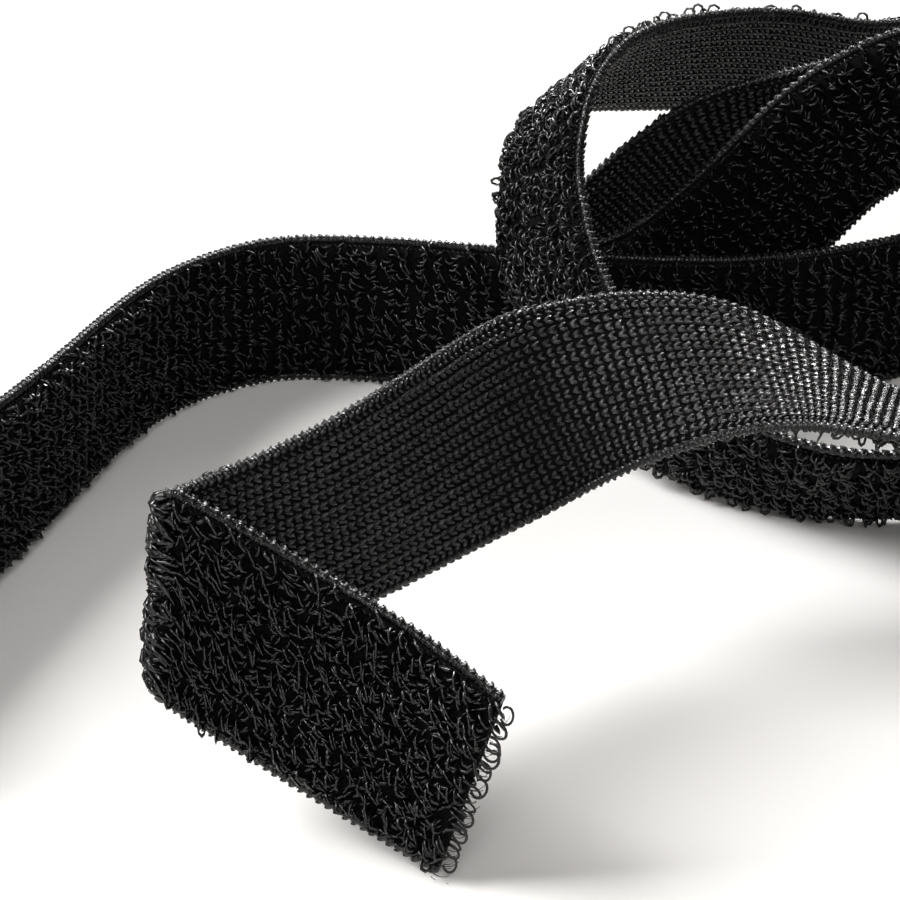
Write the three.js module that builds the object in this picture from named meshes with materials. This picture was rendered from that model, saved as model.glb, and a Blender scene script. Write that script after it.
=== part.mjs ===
// A length of woven loop tape, the soft half of a hook and loop fastener, lying loosely looped on a flat surface.
// Its near end is folded over on a diagonal crease. Millimetres, +Z up, the photographed view looks along +Y.
import * as THREE from 'three';

// Driving dimensions of the tape
const TAPE_WIDTH = 20;
const WEB_THICKNESS = 0.6;
const PILE_HEIGHT = 1.6;
const SELVEDGE_DIAMETER = 1.3;
const SELVEDGE_SIDES = 6;
const WALE_COUNT = 15;
const WALE_HEIGHT = 0.4;
const WALE_SHARE_OF_PITCH = 0.74;
const CREST_SHARE_OF_WALE = 0.36;
const LAYER_GAP = 0.2;
const CREASE_GAP = 0.3;

// How finely the route is followed, and in how many columns a layer's two faces are split to follow its twist
const SPAN_STEPS = 24;
const LONGEST_STEP = 22;
const LARGEST_BEND = THREE.MathUtils.degToRad(18);
const LARGEST_TWIST = THREE.MathUtils.degToRad(8);
const BACK_COLUMNS = 5;
const FRONT_COLUMNS = 3;

// Sizes worked out from the tape's
const HALF_WIDTH = TAPE_WIDTH / 2;
const SELVEDGE_RADIUS = SELVEDGE_DIAMETER / 2;
const SELVEDGE_PLACE = HALF_WIDTH - SELVEDGE_RADIUS;
const FIELD_EDGE = HALF_WIDTH - SELVEDGE_DIAMETER - LAYER_GAP;
const WEB_FACE = WEB_THICKNESS / 2;
const PILE_FOOT = WEB_FACE + LAYER_GAP;
const PILE_TOP = PILE_FOOT + PILE_HEIGHT;
const WALE_FOOT = WEB_FACE + LAYER_GAP;
const BACK_DEPTH = WALE_FOOT + WALE_HEIGHT;
const WALE_PITCH = 2 * FIELD_EDGE / WALE_COUNT;

// Least clear gap that the tape keeps to itself, and from how many widths along it two places count as separate
const LEAST_SELF_GAP = 0.4;
const SEPARATE_SHARE_OF_WIDTH = 1.3;

const FABRIC = { roughness: 0.92, metalness: 0 };
const COLOURS = { web: '#17191d', pile: '#1b1c20', selvedge: '#202329', wale: '#2a2e36' };

/** One place on the route, as the tape's lower and upper selvedge there. */
function station(lower, upper) {
  return { lower: new THREE.Vector3(...lower), upper: new THREE.Vector3(...upper) };
}

// The route from the cut end at the back left to the crease, chosen by hand along both selvedges.
const ROUTE = [
  // The tail runs straight, then past the left of the photographed view and round to the right, on its edge.
  station([-63, -63, 0], [-63, -63, 20]),
  station([-59.5, -51, 0], [-59.5, -51, 20]),
  station([-56, -39, 0], [-56, -39, 20]),
  station([-52.5, -27, 0], [-52.5, -27, 20]),
  station([-49, -16.3, 0], [-48.5, -16.3, 20]),
  station([-44.9, -2, 0], [-43.5, -3, 20]),
  station([-40, 15.6, 0], [-38.6, 14.6, 20]),
  station([-34.5, 27.2, 0], [-33, 26.2, 20]),
  station([-25.6, 34.8, 0], [-24.8, 34, 20]),
  station([-19, 36.6, 0], [-18.6, 36.1, 20]),
  station([-7.5, 35, 0], [-7.5, 35, 20]),
  station([5, 32, 0], [5, 32, 20]),
  station([20, 29, 0], [20, 29, 20]),
  station([31, 27.7, 0], [31, 27.7, 20]),
  station([42, 29, 0], [42, 29, 20]),
  station([53, 33.5, 0], [53, 33.5, 20]),
  station([65, 41, 0], [65, 41, 20]),
  station([79, 49, 0], [79, 49, 20]),
  // It turns back on the right and climbs to the far top of the ring.
  station([95, 57.5, 0.5], [96, 57.5, 20.5]),
  station([109, 68, 4], [112, 66, 23.7]),
  station([113, 82, 10], [116, 77, 29]),
  station([105, 94, 16], [107, 86, 34]),
  station([91, 98, 20.5], [92, 87, 37]),
  station([76, 92, 21.2], [77, 81, 37.7]),
  station([63, 82, 21.7], [65, 71, 38.2]),
  station([51, 73, 23.2], [55.5, 62, 39.2]),
  station([38, 66, 27], [45.5, 57, 43.3]),
  station([27.3, 59.5, 28.6], [36.3, 50.5, 45.2]),
  station([18.6, 52.5, 30.8], [27.6, 41.5, 46.4]),
  // The ring comes down on the left, across the tail's top edge, and touches down at its bottom.
  station([13, 47, 32.6], [22, 34, 46.2]),
  station([9, 40.5, 32.8], [18, 26.8, 44.2]),
  station([6.9, 35.5, 30], [16.1, 21.8, 40.9]),
  station([6.2, 33.2, 27.2], [15.6, 19, 38]),
  station([5.8, 31, 24.3], [15.2, 16.3, 34.6]),
  station([6, 27.5, 21.3], [15.8, 12.3, 30.7]),
  station([7.8, 22, 16], [17.1, 7.6, 26]),
  station([13, 14.5, 8.9], [20, 1.8, 21.5]),
  station([21, 7.2, 3], [24.6, -5.4, 17.8]),
  station([28.5, 2.3, 1], [29.2, -10.3, 16.4]),
  station([35, -1.3, 0.5], [35, -14.8, 15.4]),
  station([42, -4.1, 0.6], [41.2, -18, 15]),
  station([49, -5.4, 0.8], [48, -19.3, 15.2]),
  station([58, -5.1, 1.3], [57, -18.9, 15.8]),
  // It swings round on the right again and comes in high across the back.
  station([70, -2.4, 2], [67.5, -16.3, 16.2]),
  station([84, 3.5, 4], [80, -9.9, 18.4]),
  station([97, 12.5, 8], [92.8, 0.6, 23.2]),
  station([105, 24, 13], [101.5, 17.5, 31.5]),
  station([105.5, 37, 19.5], [105, 35, 39.3]),
  station([98, 50, 25.5], [98, 48, 45.3]),
  station([84, 58, 27], [84, 54.5, 46.6]),
  station([71, 59, 24.5], [70, 55, 44]),
  station([59, 56, 21.7], [57, 51.5, 41]),
  station([50, 52.5, 19], [45, 48.2, 38]),
  station([42.5, 51, 18], [31.5, 47.3, 35]),
  station([38, 50, 15.5], [25, 47, 31]),
  station([32, 49.5, 10], [18, 47.5, 24.4]),
  // It turns back on itself behind the ring and leaves to the right.
  station([27.5, 47.8, 5], [13.7, 46.8, 19.4]),
  station([25.5, 43.3, 2.4], [11.8, 43.3, 16.8]),
  station([28.5, 38.8, 2.3], [14.2, 38.8, 16.2]),
  station([34.3, 37.8, 4], [20, 37.8, 17.8]),
  station([42, 38, 10], [28.4, 37.5, 25.2]),
  station([50.8, 38.8, 19], [36.8, 38, 34.5]),
  station([55, 39.3, 23.8], [42.4, 38.4, 40]),
  station([62, 37, 28], [52, 38, 45.7]),
  station([69, 34, 30.5], [59.5, 34.5, 48.3]),
  // It comes round to the front and over the ring's bottom.
  station([77, 28.5, 32], [67.5, 29, 49.8]),
  station([84.5, 17, 31.4], [75, 17.5, 49.2]),
  station([87.5, 2, 29.8], [77.5, 4, 47]),
  station([86, -13.5, 25], [75, -11.5, 41.6]),
  station([78.5, -28.5, 20], [70, -20.5, 35.6]),
  station([67, -39.5, 20.5], [63, -22.5, 28.5]),
  station([57, -42.5, 24], [57.5, -23, 23]),
  // The hump: the back of the tape faces up, and it comes down to the crease nearly upright.
  station([50, -41.8, 26.2], [50.5, -22.3, 22.4]),
  station([44, -40.4, 26.7], [45.5, -20.8, 23.4]),
  station([39, -38.8, 26.9], [40, -19, 26.2]),
  station([34.2, -38.2, 27], [34.5, -18.3, 29.6]),
  station([28.2, -38.8, 26.8], [28.5, -19.8, 33]),
  station([24.2, -39.5, 25.6], [21.8, -21.8, 34.8]),
  station([19.5, -39.5, 23.7], [16, -23.6, 35.6]),
  station([14.8, -38.8, 21], [10.1, -25.2, 35]),
  station([9, -38.2, 18.2], [4.7, -30, 34.7]),
  station([2, -43.3, 16.8], [-0.6, -38.5, 34.8]),
  station([-4.4, -49.2, 15.9], [-7, -48.3, 34.5]),
  station([-12, -56, 14.6], [-14, -57.3, 34.6]),
];

// The crease that the folded end swings on, and the folded end from there to its cut end
const CREASE = station([-25.4, -65.2, 12], [-23.3, -65.7, 34.5]);
const FOLDED_END = [
  station([-19.4, -67.6, 8.5], [-13.6, -66.6, 28]),
  station([-13.4, -70, 5.4], [-7.2, -68.2, 24.8]),
  station([-7.3, -72, 2.6], [-1.3, -70.9, 21.9]),
  station([-1.2, -74.8, 0.1], [4.7, -75.8, 19.1]),
];

/** Point part of the way from a to b. */
function between(a, b, share) {
  return a.clone().lerp(b, share);
}

/** Unit direction from a to b. */
function direction(a, b) {
  return b.clone().sub(a).normalize();
}

/** Unit normal of a face that holds both directions, on the loop side of the tape. */
function loopSide(along, ruling) {
  return along.clone().cross(ruling).normalize();
}

/** Cubic B-spline weights of four neighbouring stations, a share of the way along the span in the middle. */
function splineWeights(share) {
  const rest = 1 - share;
  return [
    rest ** 3 / 6,
    (3 * share ** 3 - 6 * share ** 2 + 4) / 6,
    (3 * rest ** 3 - 6 * rest ** 2 + 4) / 6,
    share ** 3 / 6,
  ];
}

/** Smooth curve near the points, through the first and the last. */
function splinePoints(points) {
  const last = points.length - 1;
  const before = points[0].clone().multiplyScalar(2).sub(points[1]);
  const after = points[last].clone().multiplyScalar(2).sub(points[last - 1]);
  const control = [before, ...points, after];
  const curve = [];
  for (let span = 0; span < last; span += 1) {
    const steps = span === last - 1 ? SPAN_STEPS + 1 : SPAN_STEPS;
    for (let step = 0; step < steps; step += 1) {
      const weights = splineWeights(step / SPAN_STEPS);
      const point = new THREE.Vector3();
      weights.forEach((weight, k) => point.addScaledVector(control[span + k], weight));
      curve.push(point);
    }
  }
  return curve;
}

/**
 * A ruling is one straight line across the tape: its middle, the tape's direction, the way across, stretched so
 * that one unit of it is one millimetre of width, and the loop side's normal.
 */
function makeRuling(lower, upper, along) {
  const ruling = direction(lower, upper);
  const skew = ruling.dot(along);
  return {
    middle: between(lower, upper, 0.5),
    along,
    across: ruling.clone().divideScalar(Math.sqrt(1 - skew ** 2)),
    normal: loopSide(along, ruling),
  };
}

/** The crease's line moved to the middle of a stretch that runs there in the given direction, back to the crease. */
function clearOfCrease(along) {
  const clear = loopSide(along, direction(CREASE.lower, CREASE.upper)).multiplyScalar(BACK_DEPTH);
  return { lower: CREASE.lower.clone().add(clear), upper: CREASE.upper.clone().add(clear) };
}

/** Middle of the tape at a station. */
function middleOf({ lower, upper }) {
  return between(lower, upper, 0.5);
}

/** Rulings of a stretch near its stations, close together. */
function denseRulings(stations) {
  const lower = splinePoints(stations.map((s) => s.lower));
  const upper = splinePoints(stations.map((s) => s.upper));
  const middle = lower.map((point, k) => between(point, upper[k], 0.5));
  return middle.map((_, k) => {
    const along = direction(middle[Math.max(k - 1, 0)], middle[Math.min(k + 1, middle.length - 1)]);
    return makeRuling(lower[k], upper[k], along);
  });
}

/** How far the tape twists about its own direction between two rulings. */
function twistBetween(a, b) {
  return Math.abs(Math.asin(direction(a.middle, b.middle).dot(a.normal.clone().cross(b.normal))));
}

/** Whether one straight step from a to b would be too long, bend too far or twist too far. */
function isTooFar(a, b) {
  return a.middle.distanceTo(b.middle) > LONGEST_STEP
    || a.along.angleTo(b.along) > LARGEST_BEND
    || twistBetween(a, b) > LARGEST_TWIST;
}

/** As few rulings as keep every step short, and its bend and twist small. */
function thinned(rulings) {
  const kept = [rulings[0]];
  for (let k = 1; k < rulings.length - 1; k += 1) {
    if (isTooFar(kept[kept.length - 1], rulings[k + 1])) kept.push(rulings[k]);
  }
  kept.push(rulings[rulings.length - 1]);
  return kept;
}

/** Moves one ruling along the tape. */
function shifted(ruling, distance) {
  return { ...ruling, middle: ruling.middle.clone().addScaledVector(ruling.along, distance) };
}

/** Point of the tape at a distance across from its middle line and up towards the loops. */
function tapePoint(ruling, [across, up]) {
  return ruling.middle.clone()
    .addScaledVector(ruling.across, across)
    .addScaledVector(ruling.normal, up);
}

/**
 * Closed body of one convex section, carried along the rulings. Every facet is split from the lower side of the
 * tape at one ruling to its upper side at the next, so that neighbouring layers stay parallel where it twists.
 */
function sweep(rulings, section) {
  const positions = rulings.flatMap((ruling) => section.flatMap((place) => tapePoint(ruling, place).toArray()));
  const count = section.length;
  const faces = [];
  for (let ring = 0; ring < rulings.length - 1; ring += 1) {
    for (let side = 0; side < count; side += 1) {
      const a = ring * count + side;
      const b = ring * count + (side + 1) % count;
      const runsAcross = section[(side + 1) % count][0] > section[side][0];
      if (runsAcross) faces.push(a, b, b + count, a, b + count, a + count);
      else faces.push(a, b, a + count, b, b + count, a + count);
    }
  }
  const lastRing = (rulings.length - 1) * count;
  for (let k = 1; k < count - 1; k += 1) {
    faces.push(0, k + 1, k);
    faces.push(lastRing, lastRing + k, lastRing + k + 1);
  }
  const geometry = new THREE.BufferGeometry();
  geometry.setAttribute('position', new THREE.Float32BufferAttribute(positions, 3));
  geometry.setIndex(faces);
  geometry.computeVertexNormals();
  return geometry;
}

/** Points across one face of a layer at a height, from its lower edge to its upper. */
function faceRow(height, columns) {
  return Array.from({ length: columns + 1 }, (_, k) => [FIELD_EDGE * (2 * k / columns - 1), height]);
}

/** Flat layer of the tape between two heights. */
function layerSection(bottom, bottomColumns, top) {
  return [...faceRow(bottom, bottomColumns), ...faceRow(top, FRONT_COLUMNS).reverse()];
}

/** Round cord on the side of the tape that the sign names, with a flat facet outwards. */
function selvedgeSection(sign) {
  const corner = SELVEDGE_RADIUS / Math.cos(Math.PI / SELVEDGE_SIDES);
  return Array.from({ length: SELVEDGE_SIDES }, (_, k) => {
    const angle = (k + 0.5) * 2 * Math.PI / SELVEDGE_SIDES;
    return [sign * SELVEDGE_PLACE + corner * Math.cos(angle), corner * Math.sin(angle)];
  });
}

/** Ridge of one knitted chain on the back of the tape, with the flat crest that the tape's back rests on. */
function waleSection(index) {
  const middle = -FIELD_EDGE + (index + 0.5) * WALE_PITCH;
  const half = WALE_PITCH * WALE_SHARE_OF_PITCH / 2;
  const crest = half * CREST_SHARE_OF_WALE;
  return [
    [middle - half, -WALE_FOOT],
    [middle - crest, -BACK_DEPTH],
    [middle + crest, -BACK_DEPTH],
    [middle + half, -WALE_FOOT],
  ];
}

/** Separate piece of the tape, with a material of its own. */
function makePiece(name, geometry, colour) {
  const material = new THREE.MeshStandardMaterial({ color: new THREE.Color(colour), ...FABRIC });
  const mesh = new THREE.Mesh(geometry, material);
  mesh.name = name;
  return mesh;
}

/** All the pieces of one stretch of tape, their names starting with the prefix. */
function makeStretch(prefix, rulings) {
  const wales = Array.from({ length: WALE_COUNT }, (_, k) => {
    const number = String(k + 1).padStart(2, '0');
    return makePiece(`${prefix}chain_wale_${number}`, sweep(rulings, waleSection(k)), COLOURS.wale);
  });
  return [
    makePiece(`${prefix}ground_weave`, sweep(rulings, layerSection(-WEB_FACE, BACK_COLUMNS, WEB_FACE)), COLOURS.web),
    makePiece(`${prefix}loop_pile`, sweep(rulings, layerSection(PILE_FOOT, FRONT_COLUMNS, PILE_TOP)), COLOURS.pile),
    makePiece(`${prefix}selvedge_lower`, sweep(rulings, selvedgeSection(-1)), COLOURS.selvedge),
    makePiece(`${prefix}selvedge_upper`, sweep(rulings, selvedgeSection(1)), COLOURS.selvedge),
    ...wales,
  ];
}

/** Least distance between separate places of the tape, from points on both faces and both edges. */
function leastSelfGap(rulings) {
  const faces = [];
  const places = [-HALF_WIDTH, -HALF_WIDTH / 2, 0, HALF_WIDTH / 2, HALF_WIDTH];
  let travelled = 0;
  rulings.forEach((ruling, k) => {
    travelled += k > 0 ? ruling.middle.distanceTo(rulings[k - 1].middle) : 0;
    for (const up of [-BACK_DEPTH, PILE_TOP]) {
      faces.push({ travelled, points: places.map((across) => tapePoint(ruling, [across, up])) });
    }
  });
  let least = Infinity;
  for (const a of faces) {
    for (const b of faces) {
      if (b.travelled - a.travelled < TAPE_WIDTH * SEPARATE_SHARE_OF_WIDTH) continue;
      for (const p of a.points) {
        for (const q of b.points) least = Math.min(least, p.distanceTo(q));
      }
    }
  }
  return least;
}

/** Length of the tape's middle line over the rulings. */
function lengthOf(rulings) {
  return rulings.slice(1).reduce((sum, ruling, k) => sum + ruling.middle.distanceTo(rulings[k].middle), 0);
}

/** Written in metres, for the record. */
function inMetres(vector) {
  return vector.toArray().map((value) => Number((value / 1000).toFixed(5)));
}

const comingIn = direction(middleOf(ROUTE[ROUTE.length - 1]), middleOf(CREASE));
const goingOut = direction(middleOf(CREASE), middleOf(FOLDED_END[0]));
const dense = denseRulings([...ROUTE, clearOfCrease(comingIn)]);
const denseEnd = denseRulings([clearOfCrease(goingOut), ...FOLDED_END]);
const mainRulings = thinned(dense);
mainRulings.push(shifted(mainRulings.pop(), -CREASE_GAP / 2));
const endRulings = thinned(denseEnd);
endRulings.unshift(shifted(endRulings.shift(), CREASE_GAP / 2));

const part = new THREE.Group();
part.name = 'loop_tape';
part.add(...makeStretch('', mainRulings), ...makeStretch('end_flap_', endRulings));

// The frame's origin is under the middle of the whole object, on the surface that it lies on.
const box = new THREE.Box3().setFromObject(part);
const origin = box.getCenter(new THREE.Vector3()).setZ(box.min.z);
part.children.forEach((mesh) => mesh.geometry.translate(-origin.x, -origin.y, -origin.z));

const selfGap = leastSelfGap(dense.filter((_, k) => k % 3 === 0));
const fromOrigin = (point) => inMetres(point.clone().sub(origin));
const straight = dense[Math.round(1.5 * SPAN_STEPS)];
console.log(`origin in route coordinates, mm: ${origin.toArray().map((v) => v.toFixed(3))}`);
console.log(`box, mm: ${box.getSize(new THREE.Vector3()).toArray().map((v) => v.toFixed(2))}`);
console.log(`tape to the crease ${lengthOf(dense).toFixed(1)} mm, folded end ${lengthOf(denseEnd).toFixed(1)} mm`);
console.log(`rulings ${mainRulings.length} and ${endRulings.length}, least gap of the tape to itself ${selfGap.toFixed(2)} mm`);
console.log(`that gap is over ${LEAST_SELF_GAP} mm: ${selfGap > LEAST_SELF_GAP}`);
console.log(`crease lower ${fromOrigin(CREASE.lower)}, upper ${fromOrigin(CREASE.upper)}`);
console.log(`crease axis ${direction(CREASE.lower, CREASE.upper).toArray().map((v) => v.toFixed(5))}`);
console.log(`straight tail, crest of the middle ridge ${fromOrigin(tapePoint(straight, [0, -BACK_DEPTH]))}`);
console.log(`straight tail, resting edge ${fromOrigin(tapePoint(straight, [-HALF_WIDTH, 0]))}`);
console.log(`straight tail, loop face ${fromOrigin(tapePoint(straight, [0, PILE_TOP]))}`);
console.log(`straight tail, loop side's normal ${straight.normal.toArray().map((v) => v.toFixed(5))}`);

export default part;
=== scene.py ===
"""The looks of a length of woven loop tape, the soft half of a hook and loop fastener, lying loosely looped.

Every piece is built flat, as the tape is made: x across the tape, y along it and z towards its loops. It is
then laid along the route that the tape takes from its far tail to the cut end of the folded flap. Lengths
are metres.
"""

import logging
import math
from dataclasses import dataclass
from enum import Enum
from typing import Any

import bpy
import numpy as np
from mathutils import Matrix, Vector


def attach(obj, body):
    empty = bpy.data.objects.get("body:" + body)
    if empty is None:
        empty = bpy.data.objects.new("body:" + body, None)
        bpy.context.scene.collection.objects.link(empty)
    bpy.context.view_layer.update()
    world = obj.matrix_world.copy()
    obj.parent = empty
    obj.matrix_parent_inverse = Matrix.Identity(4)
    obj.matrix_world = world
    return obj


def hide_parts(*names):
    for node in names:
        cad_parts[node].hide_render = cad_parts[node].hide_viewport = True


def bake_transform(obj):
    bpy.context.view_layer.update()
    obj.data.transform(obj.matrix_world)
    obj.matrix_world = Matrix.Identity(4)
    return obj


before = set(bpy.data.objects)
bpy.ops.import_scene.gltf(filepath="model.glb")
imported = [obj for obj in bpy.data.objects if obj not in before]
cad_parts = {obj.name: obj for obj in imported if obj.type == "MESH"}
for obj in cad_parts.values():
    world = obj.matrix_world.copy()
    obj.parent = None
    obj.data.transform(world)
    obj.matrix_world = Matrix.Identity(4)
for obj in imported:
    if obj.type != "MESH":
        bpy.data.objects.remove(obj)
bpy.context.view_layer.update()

log = logging.getLogger("loop_tape")

MM = 0.001
QUARTER_TURN = math.pi / 2

# Three lengths, angles or shares, and the named inputs of a node tree
Triple = tuple[float, float, float]
Sizes = dict[str, Any]

# Driving dimensions of the tape, the same as the frame's
TAPE_WIDTH = 20 * MM
WEB_THICKNESS = 0.6 * MM
SELVEDGE_DIAMETER = 1.3 * MM
WALE_COUNT = 15
WALE_HEIGHT = 0.4 * MM
LAYER_GAP = 0.2 * MM

# Places in the tape's section that follow from them
HALF_WIDTH = TAPE_WIDTH / 2
SELVEDGE_PLACE = HALF_WIDTH - SELVEDGE_DIAMETER / 2
FIELD_EDGE = HALF_WIDTH - SELVEDGE_DIAMETER - LAYER_GAP
WEB_FACE = WEB_THICKNESS / 2
BACK_DEPTH = WEB_FACE + LAYER_GAP + WALE_HEIGHT
WALE_PITCH = 2 * FIELD_EDGE / WALE_COUNT

# How closely the route is followed, and how far it runs on past a cut end, for the fibres there
SPAN_STEPS = 24
CREASE_STEPS = 12
SPARE_END = 4 * MM

# Length before the crease over which the rows of stitches turn to lie along it
ROWS_TURN = 25 * MM

# Origin of the frame in route coordinates
ROUTE_ORIGIN = (25.965 * MM, 9.907 * MM, -0.007 * MM)

# The route from the far tail to the crease: lower and upper selvedge at listed stations, in mm
STATIONS = (
    # The tail runs straight, then past the left of the view and round to the right, on its edge.
    ((-63, -63, 0), (-63, -63, 20)),
    ((-59.5, -51, 0), (-59.5, -51, 20)),
    ((-56, -39, 0), (-56, -39, 20)),
    ((-52.5, -27, 0), (-52.5, -27, 20)),
    ((-49, -16.3, 0), (-48.5, -16.3, 20)),
    ((-44.9, -2, 0), (-43.5, -3, 20)),
    ((-40, 15.6, 0), (-38.6, 14.6, 20)),
    ((-34.5, 27.2, 0), (-33, 26.2, 20)),
    ((-25.6, 34.8, 0), (-24.8, 34, 20)),
    ((-19, 36.6, 0), (-18.6, 36.1, 20)),
    ((-7.5, 35, 0), (-7.5, 35, 20)),
    ((5, 32, 0), (5, 32, 20)),
    ((20, 29, 0), (20, 29, 20)),
    ((31, 27.7, 0), (31, 27.7, 20)),
    ((42, 29, 0), (42, 29, 20)),
    ((53, 33.5, 0), (53, 33.5, 20)),
    ((65, 41, 0), (65, 41, 20)),
    ((79, 49, 0), (79, 49, 20)),
    # It turns back on the right and climbs to the far top of the ring.
    ((95, 57.5, 0.5), (96, 57.5, 20.5)),
    ((109, 68, 4), (112, 66, 23.7)),
    ((113, 82, 10), (116, 77, 29)),
    ((105, 94, 16), (107, 86, 34)),
    ((91, 98, 20.5), (92, 87, 37)),
    ((76, 92, 21.2), (77, 81, 37.7)),
    ((63, 82, 21.7), (65, 71, 38.2)),
    ((51, 73, 23.2), (55.5, 62, 39.2)),
    ((38, 66, 27), (45.5, 57, 43.3)),
    ((27.3, 59.5, 28.6), (36.3, 50.5, 45.2)),
    ((18.6, 52.5, 30.8), (27.6, 41.5, 46.4)),
    # The ring comes down on the left, across the tail's top edge, and touches down at its bottom.
    ((13, 47, 32.6), (22, 34, 46.2)),
    ((9, 40.5, 32.8), (18, 26.8, 44.2)),
    ((6.9, 35.5, 30), (16.1, 21.8, 40.9)),
    ((6.2, 33.2, 27.2), (15.6, 19, 38)),
    ((5.8, 31, 24.3), (15.2, 16.3, 34.6)),
    ((6, 27.5, 21.3), (15.8, 12.3, 30.7)),
    ((7.8, 22, 16), (17.1, 7.6, 26)),
    ((13, 14.5, 8.9), (20, 1.8, 21.5)),
    ((21, 7.2, 3), (24.6, -5.4, 17.8)),
    ((28.5, 2.3, 1), (29.2, -10.3, 16.4)),
    ((35, -1.3, 0.5), (35, -14.8, 15.4)),
    ((42, -4.1, 0.6), (41.2, -18, 15)),
    ((49, -5.4, 0.8), (48, -19.3, 15.2)),
    ((58, -5.1, 1.3), (57, -18.9, 15.8)),
    # It swings round on the right again and comes in high across the back.
    ((70, -2.4, 2), (67.5, -16.3, 16.2)),
    ((84, 3.5, 4), (80, -9.9, 18.4)),
    ((97, 12.5, 8), (92.8, 0.6, 23.2)),
    ((105, 24, 13), (101.5, 17.5, 31.5)),
    ((105.5, 37, 19.5), (105, 35, 39.3)),
    ((98, 50, 25.5), (98, 48, 45.3)),
    ((84, 58, 27), (84, 54.5, 46.6)),
    ((71, 59, 24.5), (70, 55, 44)),
    ((59, 56, 21.7), (57, 51.5, 41)),
    ((50, 52.5, 19), (45, 48.2, 38)),
    ((42.5, 51, 18), (31.5, 47.3, 35)),
    ((38, 50, 15.5), (25, 47, 31)),
    ((32, 49.5, 10), (18, 47.5, 24.4)),
    # It turns back on itself behind the ring and leaves to the right.
    ((27.5, 47.8, 5), (13.7, 46.8, 19.4)),
    ((25.5, 43.3, 2.4), (11.8, 43.3, 16.8)),
    ((28.5, 38.8, 2.3), (14.2, 38.8, 16.2)),
    ((34.3, 37.8, 4), (20, 37.8, 17.8)),
    ((42, 38, 10), (28.4, 37.5, 25.2)),
    ((50.8, 38.8, 19), (36.8, 38, 34.5)),
    ((55, 39.3, 23.8), (42.4, 38.4, 40)),
    ((62, 37, 28), (52, 38, 45.7)),
    ((69, 34, 30.5), (59.5, 34.5, 48.3)),
    # It comes round to the front and over the ring's bottom.
    ((77, 28.5, 32), (67.5, 29, 49.8)),
    ((84.5, 17, 31.4), (75, 17.5, 49.2)),
    ((87.5, 2, 29.8), (77.5, 4, 47)),
    ((86, -13.5, 25), (75, -11.5, 41.6)),
    ((78.5, -28.5, 20), (70, -20.5, 35.6)),
    ((67, -39.5, 20.5), (63, -22.5, 28.5)),
    ((57, -42.5, 24), (57.5, -23, 23)),
    # The hump: the back of the tape faces up, and it comes down to the crease nearly upright.
    ((50, -41.8, 26.2), (50.5, -22.3, 22.4)),
    ((44, -40.4, 26.7), (45.5, -20.8, 23.4)),
    ((39, -38.8, 26.9), (40, -19, 26.2)),
    ((34.2, -38.2, 27), (34.5, -18.3, 29.6)),
    ((28.2, -38.8, 26.8), (28.5, -19.8, 33)),
    ((24.2, -39.5, 25.6), (21.8, -21.8, 34.8)),
    ((19.5, -39.5, 23.7), (16, -23.6, 35.6)),
    ((14.8, -38.8, 21), (10.1, -25.2, 35)),
    ((9, -38.2, 18.2), (4.7, -30, 34.7)),
    ((2, -43.3, 16.8), (-0.6, -38.5, 34.8)),
    ((-4.4, -49.2, 15.9), (-7, -48.3, 34.5)),
    ((-12, -56, 14.6), (-14, -57.3, 34.6)),
)

# The crease that the folded end swings on, and the folded end from there to its cut end
CREASE = ((-25.4, -65.2, 12), (-23.3, -65.7, 34.5))
FOLDED_END = (
    ((-19.4, -67.6, 8.5), (-13.6, -66.6, 28)),
    ((-13.4, -70, 5.4), (-7.2, -68.2, 24.8)),
    ((-7.3, -72, 2.6), (-1.3, -70.9, 21.9)),
    ((-1.2, -74.8, 0.1), (4.7, -75.8, 19.1)),
)


class Stretch(Enum):
    """The stretches of the tape: the long one, the turn of the fold, and the folded end."""

    LONG = "tape"
    FOLD = "fold"
    FLAP = "end_flap"


def mm(*lengths: float) -> tuple[float, ...]:
    """Lengths in millimetres, as metres."""
    return tuple(length * MM for length in lengths)


def degrees(*angles: float) -> tuple[float, ...]:
    """Angles in degrees, as radians."""
    return tuple(math.radians(angle) for angle in angles)


def travelled(points: np.ndarray) -> np.ndarray:
    """Distance along a line to each of its points."""
    steps = np.linalg.norm(np.diff(points, axis=0), axis=1)
    return np.concatenate([[0], np.cumsum(steps)])


def unit(vectors: np.ndarray) -> np.ndarray:
    """Vectors of length one along the last axis."""
    return vectors / np.linalg.norm(vectors, axis=-1, keepdims=True)


def spline(stations: np.ndarray) -> np.ndarray:
    """Smooth cubic B-spline near the stations, through the first and the last.

    Args:
        stations: points, one a row.

    Returns:
        Points along the curve, SPAN_STEPS for each span.
    """
    control = np.vstack([2 * stations[0] - stations[1], stations, 2 * stations[-1] - stations[-2]])
    share = np.linspace(0, 1, SPAN_STEPS, endpoint=False)[:, None]
    rest = 1 - share
    weights = (
        rest**3 / 6,
        (3 * share**3 - 6 * share**2 + 4) / 6,
        (3 * rest**3 - 6 * rest**2 + 4) / 6,
        share**3 / 6,
    )
    spans = [
        sum(weight * control[span + k] for k, weight in enumerate(weights))
        for span in range(len(stations) - 1)
    ]
    return np.vstack([*spans, stations[-1:]])


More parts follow.
